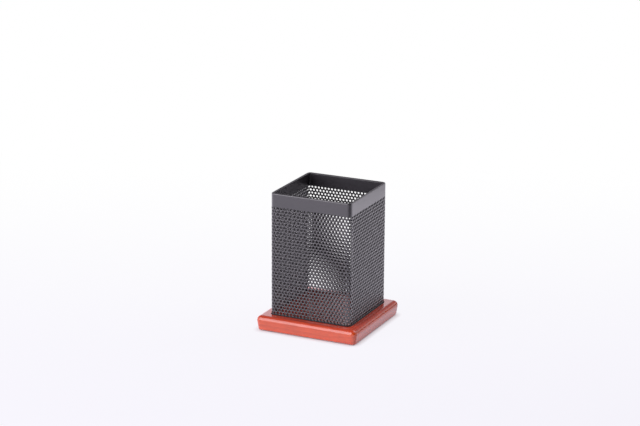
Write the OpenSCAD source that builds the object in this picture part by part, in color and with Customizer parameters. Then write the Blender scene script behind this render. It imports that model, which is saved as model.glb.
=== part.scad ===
// Pen holder: a square sleeve of punched sheet steel, hemmed at the rim,
// standing in a groove routed round the top of a lacquered wooden base on four felt feet.
// Millimetres, +Z up. The origin is under the middle of the base, on the surface it stands on.

/* [Sleeve] */
// Outside width of the square sleeve
sleeve_w = 82.5; // [70:0.5:86]
// Height of the sleeve that shows above the base
sleeve_h = 119.4; // [90:0.2:140]
// Thickness of the painted sheet
sheet_t = 1.1; // [0.6:0.1:1.2]
// Outside radius of the four vertical bends
bend_r = 4.2; // [3.5:0.1:8]

/* [Hem] */
// Height of the leg folded down inside the rim, measured from the top of the rim
hem_h = 13; // [8:0.1:20]
// Air left between the leg and the wall
hem_gap = 0.1; // [0.05:0.05:0.3]

/* [Perforation] */
// Diameter of the punched holes
hole_d = 2.2; // [1.2:0.1:2.4]
// Distance between neighbouring holes of the staggered pattern
hole_pitch = 3.5; // [3:0.1:6]
// Plain strip between the end of the hem and the first row of holes
hem_margin = 0.1; // [0.1:0.1:4]
// Least plain strip between the last row of holes and the base
foot_margin = 0.9; // [0.5:0.1:6]

/* [Base] */
// Width of the square base where it is widest
base_w = 103.4; // [100:0.2:130]
// Thickness of the base
base_t = 13.5; // [10:0.1:25]
// How far each side leans in from the widest line to the underside
side_lean = 1.4; // [0.2:0.1:2]
// Radius of the round-over along the top edge
top_edge_r = 4.6; // [1:0.1:4.6]
// Radius of the vertical corners
corner_r = 4.8; // [4.7:0.1:9]
// Eased lower edge
low_edge = 0.4; // [0.2:0.1:0.6]

/* [Groove] */
// Depth of the groove that the sleeve stands in
groove_depth = 3.5; // [2:0.1:6]
// Room for adhesive on each side of the sheet
groove_clear = 0.3; // [0.1:0.05:0.8]

/* [Feet] */
// Diameter of the felt feet
foot_d = 14; // [8:0.5:20]
// Thickness of the felt feet
foot_t = 1; // [0.6:0.1:4]
// From the lower edge of the base to the centre of a foot
foot_inset = 13; // [11:0.5:30]
// Rounding of the felt's lower edge
foot_edge_r = 0.3; // [0.1:0.05:0.5]

/* [Hidden] */
$fn = 96;
// Facets round a punched hole
hole_facets = 32;

base_top = foot_t + base_t;
groove_floor = base_top - groove_depth;
rim_top = base_top + sleeve_h;

// The fold at the rim: two sheets and the air between them
rim_t = 2 * sheet_t + hem_gap;
fold_r = rim_t / 2;
fold_z = rim_top - fold_r;

// One wall: a flat between two half bends, which end on the sleeve's diagonals
flat_half = sleeve_w / 2 - bend_r;
half_bend = 45;
arc_half = bend_r * PI * half_bend / 180;

// Staggered rows of holes, counted down from the hem
row_pitch = hole_pitch * sin(60);
first_row = rim_top - hem_h - hem_margin - hole_d / 2;
last_row_min = base_top + foot_margin + hole_d / 2;
row_count = floor((first_row - last_row_min) / row_pitch) + 1;
// Punches reach through the sheet on both sides
punch_reach = 0.5;
// How far the base's sides end inside its round-over
hair = 0.001;

foot_place = base_w / 2 - side_lean - foot_inset;

PAINT = [0.24, 0.235, 0.25];
WOOD = [0.66, 0.22, 0.15];
FELT = [0.16, 0.15, 0.15];

// Centres of one row on half a wall, measured along the sheet's outside from the wall's middle.
// The flat keeps the punching pitch. What is left round the bend is shared out evenly,
// so that the rows of neighbouring walls meet without a jump.
function row_start(row) = row % 2 == 0 ? hole_pitch / 2 : 0;
function flat_count(row) = floor((flat_half - row_start(row)) / hole_pitch) + 1;
function last_flat(row) = row_start(row) + (flat_count(row) - 1) * hole_pitch;
function bend_span(row) = 2 * (flat_half + arc_half - last_flat(row));
function bend_steps(row) = max(1, round(bend_span(row) / hole_pitch));
function bend_step(row) = bend_span(row) / bend_steps(row);
function flat_holes(row) = [for (i = [0 : flat_count(row) - 1]) row_start(row) + i * hole_pitch];
function bend_holes(row) = [
    for (i = [1 : floor(bend_steps(row) / 2)]) last_flat(row) + i * bend_step(row)
];
function row_z(row) = first_row - row * row_pitch;
// Holes that lie on the flat with their whole rim
function is_inner(s) = s <= flat_half - hole_d / 2;

// Section of the hem: the half-round fold and the leg, outside face at x = 0, inside at -x
module hem_section() {
    difference() {
        translate([-fold_r, fold_z]) circle(r = fold_r);
        translate([-fold_r, fold_z]) circle(d = hem_gap);
        translate([-rim_t, fold_z - rim_t]) square(rim_t);
    }
    leg_low = rim_top - hem_h;
    translate([-rim_t, leg_low]) square([sheet_t, fold_z - leg_low]);
}

module wall_section() {
    hem_section();
    translate([-sheet_t, groove_floor]) square([sheet_t, fold_z - groove_floor]);
}

// The punched flat, drawn as seen from outside
module flat_outline() {
    difference() {
        translate([-flat_half, groove_floor]) square([2 * flat_half, fold_z - groove_floor]);
        for (row = [0 : row_count - 1], s = flat_holes(row), side = s == 0 ? [1] : [-1, 1])
            if (is_inner(s)) translate([side * s, row_z(row)])
                circle(d = hole_d, $fn = hole_facets);
    }
}

// A punch through the sheet at the distance s along half a wall, square to the surface there
module punch(s, z) {
    turn = s > flat_half ? (s - flat_half) / arc_half * half_bend : 0;
    translate([min(s, flat_half), bend_r, z])
        rotate([0, 0, turn])
            translate([0, -bend_r + sheet_t + punch_reach, 0])
                rotate([90, 0, 0])
                    cylinder(d = hole_d, h = sheet_t + 2 * punch_reach, $fn = hole_facets);
}

module half_bend_solid() {
    translate([flat_half, bend_r, 0])
        rotate([0, 0, -90])
            rotate_extrude(angle = half_bend) translate([bend_r, 0]) wall_section();
}

// One wall of the sleeve with its outside face on y = 0, facing -Y
module punched_wall() {
    difference() {
        union() {
            translate([0, sheet_t, 0]) rotate([90, 0, 0]) linear_extrude(sheet_t) flat_outline();
            translate([-flat_half, 0, 0]) rotate([90, 0, 90])
                linear_extrude(2 * flat_half) mirror([1, 0]) hem_section();
            half_bend_solid();
            mirror([1, 0, 0]) half_bend_solid();
        }
        for (row = [0 : row_count - 1], side = [0, 1], s = concat(flat_holes(row), bend_holes(row)))
            if (!is_inner(s)) mirror([side, 0, 0]) punch(s, row_z(row));
    }
}

module sleeve_wall(turn) {
    color(PAINT) rotate([0, 0, turn]) translate([0, -sleeve_w / 2, 0]) punched_wall();
}

module front_wall() { sleeve_wall(0); }
module right_wall() { sleeve_wall(90); }
module rear_wall() { sleeve_wall(180); }
module left_wall() { sleeve_wall(270); }

// Section of the base's edge, from x = 0 inside the plate out to its widest line at x = reach.
// The leaning side ends a hair inside the round-over, so that the two cross in one clean point.
module edge_section(reach) {
    arc = [reach - top_edge_r, base_top - top_edge_r];
    lean_angle = atan(side_lean / (base_t - top_edge_r));
    touch = arc + top_edge_r * [cos(lean_angle), -sin(lean_angle)];
    low_x = touch.x - (touch.y - foot_t) * tan(lean_angle);
    ease_x = low_x + low_edge * tan(lean_angle);
    polygon([
        [0, foot_t], [low_x - low_edge, foot_t], [ease_x, foot_t + low_edge], touch - [hair, 0],
        arc, [arc.x, base_top], [0, base_top]
    ]);
    intersection() {
        translate(arc) circle(r = top_edge_r);
        translate([arc.x, 0]) square(2 * base_top);
    }
}

// A square plate with its edge section carried round all four sides
module base_plate() {
    corner_at = base_w / 2 - corner_r;
    translate([-corner_at, -corner_at, foot_t]) cube([2 * corner_at, 2 * corner_at, base_t]);
    for (turn = [0, 90, 180, 270]) rotate([0, 0, turn]) {
        translate([corner_at, corner_at, 0]) rotate([90, 0, 0])
            linear_extrude(2 * corner_at) edge_section(corner_r);
        translate([corner_at, corner_at, 0]) rotate_extrude(angle = 90) edge_section(corner_r);
    }
}

module rounded_square(width, r) {
    translate([-width / 2 + r, -width / 2]) square([width - 2 * r, width]);
    translate([-width / 2, -width / 2 + r]) square([width, width - 2 * r]);
    for (x = [-1, 1], y = [-1, 1]) translate([x, y] * (width / 2 - r)) circle(r = r);
}

module wooden_base() {
    groove_out = groove_clear;
    groove_in = sheet_t + groove_clear;
    color(WOOD) difference() {
        base_plate();
        translate([0, 0, groove_floor]) linear_extrude(groove_depth + 1) difference() {
            rounded_square(sleeve_w + 2 * groove_out, bend_r + groove_out);
            rounded_square(sleeve_w - 2 * groove_in, bend_r - groove_in);
        }
    }
}

// A die-cut felt disc, its lower edge worn round
module felt_foot(x, y) {
    flat_r = foot_d / 2 - foot_edge_r;
    color(FELT) translate([x * foot_place, y * foot_place, 0]) rotate_extrude() {
        translate([0, foot_edge_r]) square([foot_d / 2, foot_t - foot_edge_r]);
        square([flat_r, foot_t]);
        translate([flat_r, foot_edge_r]) intersection() {
            circle(r = foot_edge_r);
            translate([0, -foot_edge_r]) square(foot_edge_r);
        }
    }
}

module front_left_foot() { felt_foot(-1, -1); }
module front_right_foot() { felt_foot(1, -1); }
module rear_right_foot() { felt_foot(1, 1); }
module rear_left_foot() { felt_foot(-1, 1); }

wooden_base();
front_wall();
right_wall();
rear_wall();
left_wall();
front_left_foot();
front_right_foot();
rear_right_foot();
rear_left_foot();
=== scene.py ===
# %% [markdown]
# # Pen holder
# A square sleeve of punched sheet steel, painted a satin charcoal, stands in a groove of a red stained
# and lacquered wooden base, with four felt feet under it. The solids come from the part's CAD model, in
# metres, and this lesson gives them their finish, their felt, their light and their view.

# %% Load the frame
import math

import bpy
from mathutils import Matrix, Vector


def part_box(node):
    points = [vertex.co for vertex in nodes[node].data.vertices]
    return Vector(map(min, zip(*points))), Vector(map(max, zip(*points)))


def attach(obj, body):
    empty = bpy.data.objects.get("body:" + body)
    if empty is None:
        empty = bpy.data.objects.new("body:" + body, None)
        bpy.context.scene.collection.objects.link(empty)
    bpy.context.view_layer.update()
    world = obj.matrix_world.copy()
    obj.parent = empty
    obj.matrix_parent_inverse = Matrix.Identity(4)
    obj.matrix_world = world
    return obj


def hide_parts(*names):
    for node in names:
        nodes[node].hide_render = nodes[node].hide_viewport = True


MM = 0.001
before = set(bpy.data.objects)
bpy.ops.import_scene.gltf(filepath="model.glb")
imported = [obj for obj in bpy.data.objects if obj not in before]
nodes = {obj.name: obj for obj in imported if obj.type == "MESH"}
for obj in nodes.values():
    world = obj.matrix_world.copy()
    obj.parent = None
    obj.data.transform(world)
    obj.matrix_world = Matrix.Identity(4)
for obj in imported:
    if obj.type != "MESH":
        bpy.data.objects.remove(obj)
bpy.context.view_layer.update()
print("CAD nodes:", ", ".join(sorted(nodes)))

# %% [markdown]
# ## The view
# The holder is seen from its front right, a little from above, through a long lens, so that its
# upright edges stay nearly parallel. A camera could be turned by eye until the picture looks right.
# Here its three axes are worked out from an azimuth, an elevation and a small roll, because then each
# number means something: the camera looks at a point inside the sleeve, and is then slid sideways
# and up, which moves the holder off the middle of the picture without turning it.

# %% Place the camera
VIEW_AZIMUTH = math.radians(25.25)
VIEW_ELEVATION = math.radians(16.66)
VIEW_ROLL = math.radians(0.341)
VIEW_DISTANCE = 2.0325
AIM_HEIGHT = 61.2 * MM
SLIDE_LEFT = 8.1 * MM
SLIDE_UP = 45.6 * MM
LENS_MM = 120.5
VIEW_CLIP = (0.05, 60)


def direction(azimuth, elevation):
    """Unit vector away from the holder. Azimuth runs from the front (-Y) to the right (+X)."""
    flat = math.cos(elevation)
    return Vector((math.sin(azimuth) * flat, -math.cos(azimuth) * flat, math.sin(elevation)))


def place_camera():
    back = direction(VIEW_AZIMUTH, VIEW_ELEVATION)
    level = Vector((math.cos(VIEW_AZIMUTH), math.sin(VIEW_AZIMUTH), 0))
    upright = back.cross(level)
    right = level * math.cos(VIEW_ROLL) + upright * math.sin(VIEW_ROLL)
    up = back.cross(right)
    place = Vector((0, 0, AIM_HEIGHT)) + back * VIEW_DISTANCE - right * SLIDE_LEFT + up * SLIDE_UP
    bpy.ops.object.camera_add(location=place)
    camera = bpy.context.object
    camera.name = "view_camera"
    camera.matrix_world = Matrix.Translation(place) @ Matrix((right, up, back)).transposed().to_4x4()
    camera.data.lens = LENS_MM
    camera.data.clip_start, camera.data.clip_end = VIEW_CLIP
    bpy.context.scene.camera = camera
    return camera


view_camera = place_camera()
print("camera at", [round(x, 3) for x in view_camera.location], "with a lens of", LENS_MM, "mm")

# %% [markdown]
# ## The floor
# The holder stands on a white sweep that is lit until little more than its contact shadow is left.
# Turning the lamps up would do that and would bleach the holder too. So the lamps stay at a plain
# level, and the floor is made mostly of its own white, but only where the camera or a reflection looks
# at it. Its own white gives way wherever something stands close above it, which keeps the dark line
# under the base. The rest is a plain matt floor that takes the shadow and throws light back up. In a
# reflection the sweep also has the tint of the lamps, and its far end is brighter than white paper,
# which a picture of it can't show but the side of the sleeve can.


# %% Helpers for node trees
def add_node(tree, kind, place=(0, 0), **values):
    node = tree.nodes.new(kind)
    node.location = place
    for name, value in values.items():
        setattr(node, name, value)
    return node


def set_inputs(node, **values):
    for name, value in values.items():
        node.inputs[name.replace("_", " ")].default_value = value
    return node


def feed(tree, socket, value):
    """Links another socket to this one, or sets it to a number or a colour."""
    if isinstance(value, bpy.types.NodeSocket):
        tree.links.new(value, socket)
    else:
        socket.default_value = value


def math_node(tree, place, operation, first, second=0.0):
    node = add_node(tree, "ShaderNodeMath", place, operation=operation)
    feed(tree, node.inputs[0], first)
    feed(tree, node.inputs[1], second)
    return node.outputs[0]


def mix_color(tree, place, factor, first, second, blend="MIX"):
    node = add_node(tree, "ShaderNodeMix", place, data_type="RGBA", blend_type=blend)
    for name, value in (("Factor", factor), ("A", first), ("B", second)):
        feed(tree, node.inputs[name], value)
    return node.outputs["Result"]


def remap(tree, place, value, old=(0, 1), new=(0, 1), curve="LINEAR"):
    """A Map Range node, which carries a value from its old range over to a new one."""
    node = add_node(tree, "ShaderNodeMapRange", place, interpolation_type=curve)
    set_inputs(node, From_Min=old[0], From_Max=old[1], To_Min=new[0], To_Max=new[1])
    feed(tree, node.inputs["Value"], value)
    return node.outputs["Result"]


def seen_rays(tree, place):
    """Two masks: one for the camera's rays, and one for those of reflections and clear bodies too."""
    path = add_node(tree, "ShaderNodeLightPath", place)
    camera, glossy, clear = (
        path.outputs[name] for name in ("Is Camera Ray", "Is Glossy Ray", "Is Transmission Ray")
    )
    either = math_node(tree, (place[0] + 200, place[1]), "MAXIMUM", camera, glossy)
    return camera, math_node(tree, (place[0] + 400, place[1]), "MAXIMUM", either, clear)


# %% Lay the floor
FLOOR_SIZE = 30.0
FLOOR_COLOR = (0.90, 0.885, 0.915, 1)
STUDIO_TINT = (1.04, 0.993, 1.08)
WHITE = (1, 1, 1, 1)
# Painted falloff of light: the floor's own white is a little darker at the near end
NEAR_WHITE = (0.95, 0.935, 1.0, 1)
# From the near to the far end of the sweep: places behind the holder, and the floor's own white
SWEEP_RANGE = (-0.35, 0.60)
OWN_SHARE = (0.92, 1.0)
GAP_REACH = 0.006
GAP_SAMPLES = 32
FAR_GAIN = 1.4


def sweep_depth(tree):
    """0 on the near part of the sweep and 1 at the back."""
    coords = add_node(tree, "ShaderNodeTexCoord", (-1100, 300))
    away = add_node(tree, "ShaderNodeVectorMath", (-900, 300), operation="DOT_PRODUCT")
    away.inputs[1].default_value = -direction(VIEW_AZIMUTH, 0)
    tree.links.new(coords.outputs["Object"], away.inputs[0])
    return remap(tree, (-700, 300), away.outputs["Value"], SWEEP_RANGE, curve="SMOOTHSTEP")


def make_floor_material():
    material = bpy.data.materials.new("white_sweep")
    material.use_nodes = True
    tree = material.node_tree
    tree.nodes.clear()
    matt = add_node(tree, "ShaderNodeBsdfDiffuse", (0, 200))
    matt.inputs["Color"].default_value = FLOOR_COLOR
    white = add_node(tree, "ShaderNodeEmission", (0, 0))
    mix = add_node(tree, "ShaderNodeMixShader", (250, 100))
    out = add_node(tree, "ShaderNodeOutputMaterial", (450, 100))

    depth = sweep_depth(tree)
    camera, seen = seen_rays(tree, (-900, -300))
    # Painted falloff of light: the glow darkens towards the near end of the sweep
    glow_falloff = mix_color(tree, (-450, 300), depth, NEAR_WHITE, WHITE)
    near_light = (*STUDIO_TINT, 1)
    far_light = (*(FAR_GAIN * part for part in STUDIO_TINT), 1)
    light = mix_color(tree, (-450, 500), depth, near_light, far_light)
    mirrored = math_node(tree, (-450, 700), "SUBTRACT", 1.0, camera)
    glow = mix_color(tree, (-200, 300), mirrored, glow_falloff, light, "MULTIPLY")
    own = remap(tree, (-450, 100), depth, new=OWN_SHARE)
    gap = add_node(tree, "ShaderNodeAmbientOcclusion", (-450, -150), samples=GAP_SAMPLES)
    set_inputs(gap, Distance=GAP_REACH)
    open_share = math_node(tree, (-200, -100), "MULTIPLY", gap.outputs["AO"], own)
    share = math_node(tree, (0, -200), "MULTIPLY", seen, open_share)
    tree.links.new(glow, white.inputs["Color"])
    tree.links.new(share, mix.inputs["Fac"])
    tree.links.new(matt.outputs[0], mix.inputs[1])
    tree.links.new(white.outputs[0], mix.inputs[2])
    tree.links.new(mix.outputs[0], out.inputs["Surface"])
    return material


bpy.ops.object.select_all(action="DESELECT")
bpy.ops.mesh.primitive_plane_add(size=FLOOR_SIZE, location=(0, 0, 0))
floor = bpy.context.object
floor.name = "floor"
floor.data.materials.append(make_floor_material())
print("floor", FLOOR_SIZE, "m square")

# %% [markdown]
# ## Softboxes and flags
# A lacquered edge shows its studio. The bright line along the front edge is a softbox at the front
# left. The dark core of the sleeve's front bend is the unlit side of the room at the front right, and
# the dark line along the base's right edge is the dark end of the room behind the sweep. The second
# softbox hangs too high for that edge to show it. So the room is set up the way a photographer would:
# soft lamps where the highlights say they are, and black flags, out of the camera's sight, where the
# reflections go dark. A lamp's level is its brightness beside the white of the paper, so a level can be
# read straight off a highlight.

# %% Hang the lamps
ROOM_FILL = 0.23
# Upward part of a direction where the sweep starts to give way to the room, and where it has
SWEEP_TOP = (0.30, 0.50)
# Name, azimuth and elevation in degrees, distance and size in metres, level
LAMPS = (
    ("key_softbox", -32, 30, 1.2, 1.1, 2.75),
    ("right_softbox", 138, 48, 1.2, 0.8, 1.8),
)


def make_world():
    """A dim room. The camera sees white all round, and reflections see the white sweep curve up."""
    world = bpy.data.worlds.new("studio")
    bpy.context.scene.world = world
    world.use_nodes = True
    tree = world.node_tree
    tree.nodes.clear()
    coords = add_node(tree, "ShaderNodeTexCoord", (-1100, 200))
    height = add_node(tree, "ShaderNodeSeparateXYZ", (-900, 200))
    tree.links.new(coords.outputs["Generated"], height.inputs[0])
    sweep = remap(tree, (-700, 200), height.outputs["Z"], SWEEP_TOP, (1, 0), "SMOOTHSTEP")
    camera, seen = seen_rays(tree, (-900, -200))
    curve = math_node(tree, (-300, 100), "MULTIPLY", seen, sweep)
    white_share = math_node(tree, (-100, 0), "MAXIMUM", curve, camera)
    light = add_node(tree, "ShaderNodeBackground", (300, 0))
    out = add_node(tree, "ShaderNodeOutputWorld", (500, 0))
    feed(tree, light.inputs["Color"], mix_color(tree, (100, 250), camera, (*STUDIO_TINT, 1), WHITE))
    feed(tree, light.inputs["Strength"], remap(tree, (100, 0), white_share, new=(ROOM_FILL, 1)))
    tree.links.new(light.outputs[0], out.inputs["Surface"])


def hang_softbox(name, azimuth, elevation, distance, size, level):
    """A square lamp that faces the holder. Its watts follow from its level and its area."""
    aim = Vector((0, 0, AIM_HEIGHT))
    towards = direction(math.radians(azimuth), math.radians(elevation))
    bpy.ops.object.light_add(type="AREA", location=aim + towards * distance)
    lamp = bpy.context.object
    lamp.name = name
    lamp.data.shape = "SQUARE"
    lamp.data.size = size
    lamp.data.energy = math.pi * size * size * level
    lamp.data.color = STUDIO_TINT
    lamp.rotation_euler = towards.to_track_quat("Z", "Y").to_euler()
    lamp.visible_camera = False
    return lamp


make_world()
for lamp in LAMPS:
    hang_softbox(*lamp)
bpy.context.scene.view_settings.view_transform = "Standard"
print("lamps:", ", ".join(lamp[0] for lamp in LAMPS))

# %% Stand the flags
FLAG_COLOR = (0.02, 0.02, 0.02, 1)
FLAG_LIFT = 0.015
# Name, azimuth in degrees, then distance, width and height in metres
FLAGS = (
    ("right_flag", 60, 0.36, 0.40, 0.60),
    ("low_flag", 153, 0.5, 0.35, 0.07),
)


def stand_flag(name, azimuth, distance, width, height):
    """A black panel just above the floor, facing the holder and hidden from the camera."""
    towards = direction(math.radians(azimuth), 0)
    middle = towards * distance + Vector((0, 0, height / 2 + FLAG_LIFT))
    bpy.ops.object.select_all(action="DESELECT")
    bpy.ops.mesh.primitive_plane_add(size=1, location=middle)
    flag = bpy.context.object
    flag.name = name
    flag.scale = (width, height, 1)
    flag.rotation_euler = towards.to_track_quat("-Z", "Y").to_euler()
    flag.visible_camera = False
    black = bpy.data.materials.new(name + "_cloth")
    black.use_nodes = True
    set_inputs(black.node_tree.nodes["Principled BSDF"], Base_Color=FLAG_COLOR, Roughness=1.0)
    flag.data.materials.append(black)
    return flag


for flag in FLAGS:
    stand_flag(*flag)
print("flags:", ", ".join(flag[0] for flag in FLAGS))

# %% [markdown]
# ## Shared surface effects
# Paint, wood, the shaded bead and felt are all a little uneven: their tone drifts slowly from place to
# place, and a fine tooth breaks up the light. Both effects are node groups, built once and placed in
# each material with its own scale and strength.


# %% Tone drift and fine tooth
def new_group(name, inputs, outputs):
    group = bpy.data.node_groups.new(name, "ShaderNodeTree")
    for socket, kind, value in inputs:
        made = group.interface.new_socket(socket, in_out="INPUT", socket_type=kind)
        if value is not None:
            made.default_value = value
    for socket, kind in outputs:
        group.interface.new_socket(socket, in_out="OUTPUT", socket_type=kind)
    start = add_node(group, "NodeGroupInput", (-800, 0))
    end = add_node(group, "NodeGroupOutput", (800, 0))
    return group, start, end


def make_tone_drift():
    """Multiplies a colour by a slow noise. Size is the width of a patch in metres."""
    group, start, end = new_group(
        "tone_drift",
        (
            ("Vector", "NodeSocketVector", None),
            ("Color", "NodeSocketColor", (1, 1, 1, 1)),
            ("Size", "NodeSocketFloat", 0.03),
            ("Amount", "NodeSocketFloat", 0.1),
        ),
        (("Color", "NodeSocketColor"), ("Mask", "NodeSocketFloat")),
    )
    links = group.links
    scale = math_node(group, (-600, -150), "DIVIDE", 1.0, start.outputs["Size"])
    noise = add_node(group, "ShaderNodeTexNoise", (-400, 0))
    set_inputs(noise, Detail=3.0, Roughness=0.55)
    swing = math_node(group, (-200, -100), "SUBTRACT", noise.outputs["Fac"], 0.5)
    amount = math_node(group, (0, -100), "MULTIPLY", swing, start.outputs["Amount"])
    factor = math_node(group, (200, -100), "ADD", amount, 1.0)
    tint = add_node(group, "ShaderNodeVectorMath", (500, 100), operation="SCALE")
    links.new(start.outputs["Vector"], noise.inputs["Vector"])
    links.new(scale, noise.inputs["Scale"])
    links.new(start.outputs["Color"], tint.inputs[0])
    links.new(factor, tint.inputs["Scale"])
    links.new(tint.outputs["Vector"], end.inputs["Color"])
    links.new(noise.outputs["Fac"], end.inputs["Mask"])
    return group


def make_fine_tooth():
    """A small-scale height. Size is the width of a grain in metres."""
    group, start, end = new_group(
        "fine_tooth",
        (
            ("Vector", "NodeSocketVector", None),
            ("Size", "NodeSocketFloat", 0.0005),
            ("Softness", "NodeSocketFloat", 0.5),
        ),
        (("Height", "NodeSocketFloat"),),
    )
    links = group.links
    scale = math_node(group, (-600, -150), "DIVIDE", 1.0, start.outputs["Size"])
    noise = add_node(group, "ShaderNodeTexNoise", (-300, 0))
    set_inputs(noise, Detail=2.0)
    links.new(start.outputs["Vector"], noise.inputs["Vector"])
    links.new(scale, noise.inputs["Scale"])
    links.new(start.outputs["Softness"], noise.inputs["Roughness"])
    links.new(noise.outputs["Fac"], end.inputs["Height"])
    return group


tone_drift = make_tone_drift()
fine_tooth = make_fine_tooth()
print("groups:", tone_drift.name, fine_tooth.name)


# %% A start for each material
def new_material(name):
    material = bpy.data.materials.new(name)
    material.use_nodes = True
    tree = material.node_tree
    shader = tree.nodes["Principled BSDF"]
    coords = add_node(tree, "ShaderNodeTexCoord", (-1600, 0))
    return material, tree, shader, coords


def place_group(tree, group, place, **values):
    node = add_node(tree, "ShaderNodeGroup", place, node_tree=group)
    return set_inputs(node, **values)


# %% [markdown]
# ## Satin charcoal paint
# The sleeve is stove enamelled: a film that is nearly black underneath and satin on top, so that what
# looks grey is mostly the white room in its sheen, brighter where the sheet is seen at a slant. One
# grey colour would look as dark at the front as at the side. So the colour stays low, and a rough clear
# coat lies over a rough base. The film has a fine orange peel and a slightly uneven sheen. The spray
# comes from outside, so the holes and the inside of the cup get no clear coat and stay darker.

# %% Mix the paint
PAINT_COLOR = (0.017, 0.015, 0.0185, 1)
FILM_IOR = 1.60
SHEEN_RANGE = (0.30, 0.42)
COAT_ROUGHNESS = 0.34
INSIDE_ROUGHNESS = 0.40
# The clear coat thins out between these depths below the skin
SPRAY_DEPTH = (0.15 * MM, 0.45 * MM)

wall_low, wall_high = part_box("front_wall")
SLEEVE_HALF = -wall_low.y
BEND_R = (SLEEVE_HALF - wall_high.x) / (1 - math.sqrt(0.5))
FLAT_HALF = SLEEVE_HALF - BEND_R


def below_skin(tree, place, coords):
    """A mask that is 0 on the outside of the sleeve and 1 inside its holes and on its inner side."""
    x, y = place
    mirrored = add_node(tree, "ShaderNodeVectorMath", (x, y), operation="ABSOLUTE")
    past_flat = add_node(tree, "ShaderNodeVectorMath", (x + 180, y), operation="SUBTRACT")
    past_flat.inputs[1].default_value = (FLAT_HALF, FLAT_HALF, wall_high.z)
    outward = add_node(tree, "ShaderNodeVectorMath", (x + 360, y), operation="MAXIMUM")
    from_bend = add_node(tree, "ShaderNodeVectorMath", (x + 540, y), operation="LENGTH")
    depth = math_node(tree, (x + 720, y), "SUBTRACT", BEND_R, from_bend.outputs["Value"])
    tree.links.new(coords, mirrored.inputs[0])
    tree.links.new(mirrored.outputs[0], past_flat.inputs[0])
    tree.links.new(past_flat.outputs[0], outward.inputs[0])
    tree.links.new(outward.outputs[0], from_bend.inputs[0])
    return remap(tree, (x + 900, y), depth, SPRAY_DEPTH, curve="SMOOTHSTEP")


def make_paint():
    material, tree, shader, coords = new_material("satin_paint")
    links = tree.links
    place = coords.outputs["Object"]
    drift = place_group(tree, tone_drift, (-900, 300), Size=0.025, Amount=0.3)
    drift.inputs["Color"].default_value = PAINT_COLOR
    peel = place_group(tree, fine_tooth, (-900, -200), Size=0.0006, Softness=0.4)
    sheen = remap(tree, (-600, 0), drift.outputs["Mask"], new=SHEEN_RANGE)
    inside = below_skin(tree, (-1400, -600), place)
    dull = add_node(tree, "ShaderNodeMix", (-300, 0), data_type="FLOAT")
    set_inputs(dull, B=INSIDE_ROUGHNESS)
    coat = math_node(tree, (-300, -500), "SUBTRACT", 1.0, inside)
    bump = add_node(tree, "ShaderNodeBump", (-400, -250))
    set_inputs(bump, Strength=0.3, Distance=0.00003)
    links.new(place, drift.inputs["Vector"])
    links.new(place, peel.inputs["Vector"])
    links.new(drift.outputs["Color"], shader.inputs["Base Color"])
    links.new(sheen, dull.inputs["A"])
    links.new(inside, dull.inputs["Factor"])
    links.new(dull.outputs["Result"], shader.inputs["Roughness"])
    links.new(coat, shader.inputs["Coat Weight"])
    links.new(peel.outputs["Height"], bump.inputs["Height"])
    links.new(bump.outputs["Normal"], shader.inputs["Normal"])
    set_inputs(shader, IOR=FILM_IOR, Coat_Roughness=COAT_ROUGHNESS, Coat_IOR=FILM_IOR)
    return material


satin_paint = make_paint()
print("paint:", satin_paint.name)

# %% [markdown]
# ## Rolled hole edges
# A punch drags the skin of the sheet a little way into each hole, and the paint rounds what is left of
# the edge. From the front that hardly shows. Along the right wall, which is seen at a slant, the lips
# face the dark side of the room and take much of the sheen away, so they are modelled, on a copy of the
# front wall. A bevel would be the obvious tool, but the wall's skin is cut into thousands of slivers
# that run from hole to hole, and a bevel folds them over each other. So the flat skin is taken off, the
# rims are sunk, a wider ring is drawn out of each, and a new skin is filled in between the rings. The
# few holes on the bends keep their plain edges. The other walls are the same sheet, turned by quarter
# turns.

# %% Take the skin off the front wall
WALLS = ("front_wall", "right_wall", "rear_wall", "left_wall")
PUNCH_ROLL = 0.42 * MM
SOFT_LIP = math.radians(50)
NEAR = 0.002 * MM
WELD = NEAR / 10


def pick(piece):
    bpy.ops.object.select_all(action="DESELECT")
    piece.select_set(True)
    bpy.context.view_layer.objects.active = piece


def apply_modifier(piece, kind, **values):
    modifier = piece.modifiers.new(kind.lower(), kind)
    for name, value in values.items():
        setattr(modifier, name, value)
    bpy.ops.object.modifier_apply(modifier=modifier.name)


def select_open_edges():
    bpy.ops.mesh.select_mode(type="EDGE")
    bpy.ops.mesh.select_all(action="DESELECT")
    bpy.ops.mesh.select_non_manifold(
        extend=False, use_wire=False, use_multi_face=False, use_non_contiguous=False, use_verts=False
    )


def take_skin(node):
    """A copy of a wall whose front is open: its flat skin is gone, and the open edges are selected."""
    sheet = nodes[node].copy()
    sheet.data = nodes[node].data.copy()
    sheet.name = node.replace("wall", "sheet")
    bpy.context.collection.objects.link(sheet)
    pick(sheet)
    bpy.ops.mesh.customdata_custom_splitnormals_clear()
    bpy.ops.object.mode_set(mode="EDIT")
    bpy.ops.mesh.select_mode(type="FACE")
    bpy.ops.mesh.select_all(action="SELECT")
    bpy.ops.mesh.remove_doubles(threshold=WELD)
    bpy.ops.object.mode_set(mode="OBJECT")
    corners = sheet.data.vertices
    for face in sheet.data.polygons:
        face.select = all(corners[i].co.y < wall_low.y + NEAR for i in face.vertices)
    bpy.ops.object.mode_set(mode="EDIT")
    bpy.ops.mesh.delete(type="FACE")
    select_open_edges()
    bpy.ops.object.mode_set(mode="OBJECT")
    return sheet


front_sheet = take_skin(WALLS[0])
print("open edges:", sum(edge.select for edge in front_sheet.data.edges))


# %% Sink the rims and fill in a new skin
def selected_loops(mesh):
    """The corners of each loop of selected edges, in order along the loop."""
    beside = {}
    for edge in mesh.edges:
        if edge.select:
            first, second = edge.vertices
            beside.setdefault(first, []).append(second)
            beside.setdefault(second, []).append(first)
    loops = []
    while beside:
        loop = [next(iter(beside))]
        while loop[-1] in beside:
            onward = [corner for corner in beside.pop(loop[-1]) if corner in beside]
            loop += onward[:1]
        loops.append(loop)
    return loops


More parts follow.
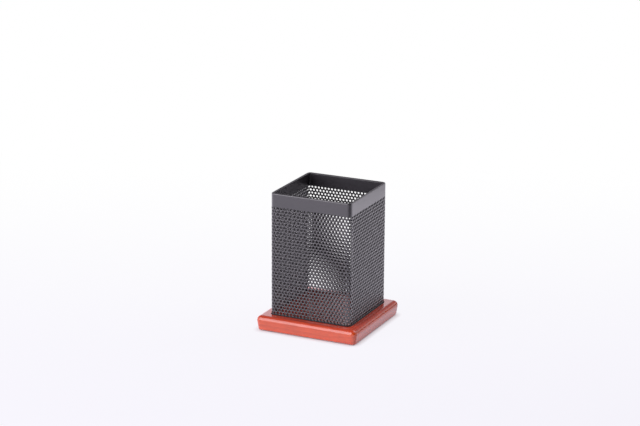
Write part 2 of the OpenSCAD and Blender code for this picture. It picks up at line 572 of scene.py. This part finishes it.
def keep_holes(mesh):
    """Leaves only the rims of the holes selected and returns their corners."""
    loops = selected_loops(mesh)
    border = set(max(loops, key=len))
    for edge in mesh.edges:
        edge.select = edge.select and edge.vertices[0] not in border
    return [corner for loop in loops for corner in loop if corner not in border]


def widen(mesh, loop):
    """Draws a ring out to the width of the roll. Every second corner is laid on the one before it."""
    corners = [mesh.vertices[i] for i in loop]
    middle = sum((corner.co for corner in corners), Vector()) / len(corners)
    for corner in corners:
        arm = corner.co - middle
        corner.co = middle + arm * (1 + PUNCH_ROLL / arm.length)
    for kept, spare in zip(corners[::2], corners[1::2]):
        spare.co = kept.co


def roll_rims(sheet):
    rims = keep_holes(sheet.data)
    bpy.ops.object.mode_set(mode="EDIT")
    bpy.ops.mesh.extrude_edges_move()
    bpy.ops.object.mode_set(mode="OBJECT")
    rings = selected_loops(sheet.data)
    for ring in rings:
        widen(sheet.data, ring)
    for corner in rims:
        sheet.data.vertices[corner].co.y += PUNCH_ROLL
    bpy.ops.object.mode_set(mode="EDIT")
    bpy.ops.mesh.remove_doubles(threshold=WELD)
    select_open_edges()
    bpy.ops.mesh.fill(use_beauty=True)
    bpy.ops.object.mode_set(mode="OBJECT")
    bpy.ops.object.shade_smooth_by_angle(angle=SOFT_LIP)
    apply_modifier(sheet, "WEIGHTED_NORMAL", keep_sharp=True, weight=100)
    sheet.material_slots[0].material = satin_paint
    return len(rings)


print("rolled rims:", roll_rims(front_sheet))


# %% Turn it into the other walls
def hang_wall(sheet, node):
    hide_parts(node)
    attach(sheet, "root")
    sheet.data.calc_loop_triangles()
    print(sheet.name, "stands for", node, "with", len(sheet.data.loop_triangles), "triangles")


hang_wall(front_sheet, WALLS[0])
for quarter, node in enumerate(WALLS[1:], start=1):
    sheet = front_sheet.copy()
    sheet.data = front_sheet.data.copy()
    sheet.name = node.replace("wall", "sheet")
    bpy.context.collection.objects.link(sheet)
    pick(sheet)
    sheet.rotation_mode = "XYZ"
    sheet.rotation_euler.z = quarter * math.pi / 2
    bpy.ops.object.transform_apply(location=True, rotation=True, scale=True)
    hang_wall(sheet, node)

# %% [markdown]
# ## Lacquered wood
# The base is a slice of hardwood with its grain along the front edge, stained red and lacquered to a
# gloss. A picture of wood wrapped round the block would show the same streaks on every side. Here the
# wood is solid: rings run round a heart that lies deep under the board, and fibres and pores are
# stretched along the grain, so each side is cut through the same tree. The end grain on the left and
# right sides drinks stain and lacquer and ends up duller, with less of a figure. The flat top is tinted
# a deeper red than the sides, as painted shade.

# %% Stain and lacquer the wood
EARLY_WOOD = (0.89, 0.114, 0.025, 1)
LATE_WOOD = (0.77, 0.086, 0.018, 1)
HEART = (0.0, 0.035, -0.085)
RING_WIDTH = 0.0042
WAVE_PERIOD = 0.314
FIBRE_SCALE = (22, 700, 700)
PORE_SCALE = (70, 2400, 2400)
END_GRAIN_TONE = 0.86
END_GRAIN_COAT = 0.32
END_GRAIN_FIGURE = 0.3
FACING_RANGE = (0.45, 0.95)
RING_FADE = 2.0
FIBRE_RANGE = (0.3, 0.7)
FIBRE_TONE = (0.92, 1.06)
PORE_RANGE = (0.58, 0.70)
PORE_TONE = 0.86
LACQUER_ROUGHNESS = (0.20, 0.14)
LACQUER_GLOSS = 0.06
# Painted shade: a tint that makes every upward face a deeper red
TOP_SHADE_TINT = (0.96, 0.63, 0.66, 1)


def grain_noise(tree, place, coords, scale, detail):
    """Noise stretched along the grain, which runs along X."""
    stretch = add_node(tree, "ShaderNodeMapping", (place[0] - 200, place[1]))
    set_inputs(stretch, Scale=scale)
    noise = add_node(tree, "ShaderNodeTexNoise", place)
    set_inputs(noise, Scale=1.0, Detail=detail, Roughness=0.6)
    tree.links.new(coords, stretch.inputs["Vector"])
    tree.links.new(stretch.outputs["Vector"], noise.inputs["Vector"])
    return noise.outputs["Fac"]


def growth_rings(tree, place, coords):
    """Rings round the heart: pale early wood that darkens slowly, then starts again."""
    centre = add_node(tree, "ShaderNodeMapping", (place[0] - 200, place[1]))
    set_inputs(centre, Location=[-x for x in HEART])
    rings = add_node(tree, "ShaderNodeTexWave", place)
    rings.wave_type = "RINGS"
    rings.rings_direction = "X"
    rings.wave_profile = "SAW"
    set_inputs(rings, Scale=WAVE_PERIOD / RING_WIDTH, Distortion=6.0, Detail=2.0, Detail_Scale=0.25)
    tree.links.new(coords, centre.inputs["Vector"])
    tree.links.new(centre.outputs["Vector"], rings.inputs["Vector"])
    return math_node(tree, (place[0] + 200, place[1]), "POWER", rings.outputs["Fac"], RING_FADE)


def facing(tree, place, normal, axis):
    """A mask that is 1 where the wood faces along an axis, either way."""
    across = add_node(tree, "ShaderNodeSeparateXYZ", place)
    tree.links.new(normal, across.inputs[0])
    size = math_node(tree, (place[0] + 200, place[1]), "ABSOLUTE", across.outputs[axis])
    return remap(tree, (place[0] + 400, place[1]), size, FACING_RANGE, curve="SMOOTHSTEP")


def make_wood():
    material, tree, shader, coords = new_material("lacquered_wood")
    links = tree.links
    place = coords.outputs["Object"]
    rings = growth_rings(tree, (-1200, 400), place)
    fibres = grain_noise(tree, (-1200, 0), place, FIBRE_SCALE, 4.0)
    pores = grain_noise(tree, (-1200, -300), place, PORE_SCALE, 2.0)
    ends = facing(tree, (-1200, -600), coords.outputs["Normal"], "X")
    top = facing(tree, (-1200, -900), coords.outputs["Normal"], "Z")

    stain = mix_color(tree, (-800, 400), rings, EARLY_WOOD, LATE_WOOD)
    # Painted shade: upward faces are tinted a deeper red than the sides
    stain_and_top_shade = mix_color(tree, (-600, 400), top, stain, TOP_SHADE_TINT, "MULTIPLY")
    streak = remap(tree, (-800, 0), fibres, FIBRE_RANGE, FIBRE_TONE)
    pore = remap(tree, (-800, -300), pores, PORE_RANGE, (1, PORE_TONE))
    cut = math_node(tree, (-600, -100), "MULTIPLY", streak, pore)
    figure = remap(tree, (-800, -500), ends, new=(1, END_GRAIN_FIGURE))
    shown = math_node(tree, (-600, -300), "POWER", cut, figure)
    thirst = remap(tree, (-800, -700), ends, new=(1, END_GRAIN_TONE))
    tone = math_node(tree, (-400, -100), "MULTIPLY", shown, thirst)
    toned = add_node(tree, "ShaderNodeVectorMath", (-400, 300), operation="SCALE")
    links.new(stain_and_top_shade, toned.inputs[0])
    links.new(tone, toned.inputs["Scale"])

    drift = place_group(tree, tone_drift, (-200, 300), Size=0.022, Amount=0.35)
    links.new(toned.outputs["Vector"], drift.inputs["Color"])
    links.new(place, drift.inputs["Vector"])
    links.new(drift.outputs["Color"], shader.inputs["Base Color"])

    gloss = remap(tree, (-200, 0), pore, (PORE_TONE, 1), LACQUER_ROUGHNESS)
    links.new(gloss, shader.inputs["Roughness"])
    swell = place_group(tree, fine_tooth, (-400, -400), Size=0.014, Softness=0.2)
    links.new(place, swell.inputs["Vector"])
    ripple = add_node(tree, "ShaderNodeBump", (-200, -400))
    set_inputs(ripple, Strength=0.4, Distance=0.0001)
    links.new(swell.outputs["Height"], ripple.inputs["Height"])
    links.new(ripple.outputs["Normal"], shader.inputs["Normal"])
    coat = remap(tree, (-200, -650), ends, new=(1, END_GRAIN_COAT))
    links.new(coat, shader.inputs["Coat Weight"])
    set_inputs(shader, Coat_Roughness=LACQUER_GLOSS)
    return material


lacquered_wood = make_wood()
nodes["wooden_base"].material_slots[0].material = lacquered_wood
print("lacquered: wooden_base")

# %% [markdown]
# ## The shaded line at the sleeve's foot
# The sleeve stands in its groove, and the corner round its foot is given painted shade: a narrow
# dark bead. A thin tube would do from afar, but it would look like a cord close up. So a
# rounded square, as wide as the bead reaches, is inset twice and each inset is lifted, which leaves a
# hollow slope against the sheet, and the slope is then closed behind and below.

# %% Mix the painted shade for the foot
# Painted shade: near-black for the corner where the sleeve meets the base
FOOT_SHADE_COLOR = (0.016, 0.010, 0.011, 1)


def make_foot_shade():
    material, tree, shader, coords = new_material("foot_shade_black")
    links = tree.links
    place = coords.outputs["Object"]
    drift = place_group(tree, tone_drift, (-600, 300), Size=0.006, Amount=0.5)
    drift.inputs["Color"].default_value = FOOT_SHADE_COLOR
    bead_tooth = place_group(tree, fine_tooth, (-600, -200), Size=0.0008, Softness=0.4)
    bump = add_node(tree, "ShaderNodeBump", (-300, -200))
    set_inputs(bump, Strength=0.5, Distance=0.0001)
    links.new(place, drift.inputs["Vector"])
    links.new(place, bead_tooth.inputs["Vector"])
    links.new(drift.outputs["Color"], shader.inputs["Base Color"])
    links.new(bead_tooth.outputs["Height"], bump.inputs["Height"])
    links.new(bump.outputs["Normal"], shader.inputs["Normal"])
    set_inputs(shader, Roughness=0.6, Specular_IOR_Level=0.3)
    return material


foot_shade_black = make_foot_shade()
print("adhesive:", foot_shade_black.name)

# %% Lay the dark bead
BEAD_WIDTH = 0.8 * MM
BEAD_HEIGHT = 1.0 * MM
SLOPE = (0.3, 0.7)
BEND_STEPS = 24
base_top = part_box("wooden_base")[1].z


def lay_shade_bead():
    """A dark ring of painted shade, with a hollow slope that fills the corner between the sleeve and the
    base's top.
    """
    bpy.ops.object.select_all(action="DESELECT")
    bpy.ops.mesh.primitive_plane_add(size=2 * (SLEEVE_HALF + BEAD_WIDTH), location=(0, 0, 0))
    bead = bpy.context.object
    bead.name = "painted_shade_bead"
    bpy.ops.object.mode_set(mode="EDIT")
    bpy.ops.transform.translate(value=(0, 0, base_top))
    bpy.ops.mesh.bevel(offset=BEND_R + BEAD_WIDTH, segments=BEND_STEPS, affect="VERTICES")
    bpy.ops.mesh.select_all(action="SELECT")
    for rise in SLOPE:
        bpy.ops.mesh.inset(thickness=BEAD_WIDTH / len(SLOPE))
        bpy.ops.transform.translate(value=(0, 0, BEAD_HEIGHT * rise))
    bpy.ops.mesh.extrude_region_move(TRANSFORM_OT_translate={"value": (0, 0, -BEAD_HEIGHT)})
    bpy.ops.mesh.delete(type="ONLY_FACE")
    select_open_edges()
    bpy.ops.mesh.bridge_edge_loops()
    bpy.ops.mesh.select_all(action="SELECT")
    bpy.ops.mesh.normals_make_consistent(inside=False)
    bpy.ops.object.mode_set(mode="OBJECT")
    bpy.ops.object.shade_smooth_by_angle(angle=SOFT_LIP)
    bead.data.materials.append(foot_shade_black)
    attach(bead, "root")
    return bead


painted_shade_bead = lay_shade_bead()
print("bead:", len(painted_shade_bead.data.polygons), "faces")

# %% [markdown]
# ## Felt feet
# Four die-cut discs of black felt hold the base off the desk. Felt is pressed wool: its cut edge is
# soft, its lower edge is worn round, and its faces are never quite flat. A bevelled cylinder would look
# like rubber. So one disc is turned from a cylinder, its edges are bevelled, it is remeshed into an even
# net, and two layers of noise push the net about: slow lumps, then the nap of the fibres. It is then
# copied to the four corners, each copy turned a little so that no two look alike.

# %% Felt cloth
FELT_COLOR = (0.026, 0.024, 0.025, 1)
FIBRE_COLOR = (0.075, 0.070, 0.072, 1)
STRAND_SCALE = 2600.0
STRAND_WIDTH = 0.12


def make_felt():
    material, tree, shader, coords = new_material("pressed_felt")
    links = tree.links
    place = coords.outputs["Object"]
    nap = place_group(tree, fine_tooth, (-900, -200), Size=0.0003, Softness=0.7)
    strands = add_node(tree, "ShaderNodeTexVoronoi", (-900, 100), feature="DISTANCE_TO_EDGE")
    set_inputs(strands, Scale=STRAND_SCALE)
    thread = remap(tree, (-700, 100), strands.outputs["Distance"], (0, STRAND_WIDTH), (1, 0))
    cloth = mix_color(tree, (-450, 200), thread, FELT_COLOR, FIBRE_COLOR)
    drift = place_group(tree, tone_drift, (-200, 200), Size=0.003, Amount=0.6)
    bump = add_node(tree, "ShaderNodeBump", (-400, -250))
    set_inputs(bump, Strength=0.6, Distance=0.0001)
    links.new(place, nap.inputs["Vector"])
    links.new(place, strands.inputs["Vector"])
    links.new(place, drift.inputs["Vector"])
    links.new(cloth, drift.inputs["Color"])
    links.new(drift.outputs["Color"], shader.inputs["Base Color"])
    links.new(nap.outputs["Height"], bump.inputs["Height"])
    links.new(bump.outputs["Normal"], shader.inputs["Normal"])
    set_inputs(shader, Roughness=0.95, Specular_IOR_Level=0.15, Sheen_Weight=0.35, Sheen_Roughness=0.6)
    return material


pressed_felt = make_felt()
print("felt:", pressed_felt.name)

# %% Cut one disc
FEET = ("front_left_foot", "front_right_foot", "rear_right_foot", "rear_left_foot")
DISC_FACETS = 64
WORN_EDGE = 0.35 * MM
CUT_EDGE = 0.12 * MM
NAP_ROOM = 0.06 * MM
FELT_NET = 0.3 * MM
# Name, width and height of a lump
LUMPS = (("felt_lumps", 2.5 * MM, 0.10 * MM), ("felt_nap", 0.5 * MM, 0.12 * MM))


def bevel_rim(mesh, height, width, segments):
    """Bevels the ring of edges at one height."""
    bpy.ops.object.mode_set(mode="EDIT")
    bpy.ops.mesh.select_mode(type="EDGE")
    bpy.ops.mesh.select_all(action="DESELECT")
    bpy.ops.object.mode_set(mode="OBJECT")
    for edge in mesh.edges:
        edge.select = all(abs(mesh.vertices[i].co.z - height) < NEAR for i in edge.vertices)
    bpy.ops.object.mode_set(mode="EDIT")
    bpy.ops.mesh.bevel(offset=width, segments=segments, profile=0.5)
    bpy.ops.object.mode_set(mode="OBJECT")


def cut_disc(radius, thickness):
    bpy.ops.object.select_all(action="DESELECT")
    bpy.ops.mesh.primitive_cylinder_add(vertices=DISC_FACETS, radius=radius, depth=thickness)
    disc = bpy.context.object
    bevel_rim(disc.data, -thickness / 2, WORN_EDGE, 4)
    bevel_rim(disc.data, thickness / 2, CUT_EDGE, 2)
    apply_modifier(disc, "REMESH", mode="VOXEL", voxel_size=FELT_NET)
    for name, size, height in LUMPS:
        noise = bpy.data.textures.new(name, "CLOUDS")
        noise.noise_scale = size
        noise.noise_depth = 2
        apply_modifier(disc, "DISPLACE", texture=noise, texture_coords="LOCAL", strength=height)
    bpy.ops.object.shade_smooth()
    return disc


low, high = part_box(FEET[0])
foot_width, foot_height = high.x - low.x, high.z - low.z
felt_disc = cut_disc(foot_width / 2 - NAP_ROOM, foot_height - 2 * NAP_ROOM)
print("felt disc:", len(felt_disc.data.polygons), "faces")

# %% Copy it under the corners
TURN_EACH = math.radians(77)


def settle(piece, node, turn):
    """Turns a disc, puts it in its node's place, and lets its lowest fibre touch the desk."""
    low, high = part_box(node)
    pick(piece)
    bpy.ops.transform.rotate(value=turn, orient_axis="Z", center_override=(0, 0, 0))
    bpy.ops.object.transform_apply(location=True, rotation=True, scale=True)
    lowest = min(corner.co.z for corner in piece.data.vertices)
    middle = (low + high) / 2
    bpy.ops.transform.translate(value=(middle.x, middle.y, low.z - lowest))
    bpy.ops.object.transform_apply(location=True, rotation=True, scale=True)


for number, node in enumerate(FEET):
    foot = felt_disc.copy()
    foot.data = felt_disc.data.copy()
    foot.name = node.replace("foot", "felt")
    bpy.context.collection.objects.link(foot)
    settle(foot, node, number * TURN_EACH)
    foot.data.materials.append(pressed_felt)
    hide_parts(node)
    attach(foot, "root")
bpy.data.objects.remove(felt_disc)
